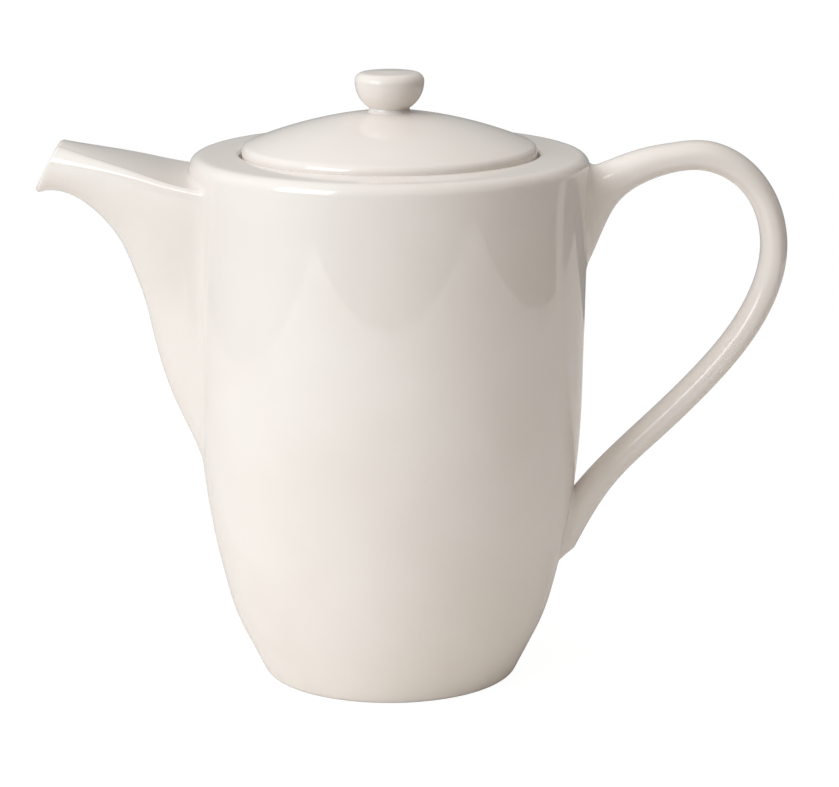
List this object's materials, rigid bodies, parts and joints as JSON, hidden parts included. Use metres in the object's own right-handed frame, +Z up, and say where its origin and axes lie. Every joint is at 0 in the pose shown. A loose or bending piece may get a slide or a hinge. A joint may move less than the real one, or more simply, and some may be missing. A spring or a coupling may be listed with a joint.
{
  "type": "coffee pot",
  "caption": "Tall round porcelain coffee pot with a flat-topped spout, a looped handle and a lift-off domed lid with a knob, for serving coffee.",
  "frame": {"origin": "on the pot's axis, in the plane of the foot ring that it stands on", "axes": "+Z up along the pot's axis, +X towards the handle, -X towards the spout, +Y away from the viewer of the picture"},
  "size_m": [0.2215, 0.118, 0.183],
  "materials": {
    "porcelain": "glossy warm white glaze"
  },
  "bodies": {
    "pot": {"pot_body": "porcelain", "spout": "porcelain", "handle": "porcelain"},
    "lid": {"lid": "porcelain", "lid_knob": "porcelain"}
  },
  "joints": [
    {"name": "lid_lift", "type": "slide", "parent": "pot", "child": "lid", "axis": [0, 0, 1], "range_m": [0, 0.08]}
  ]
}
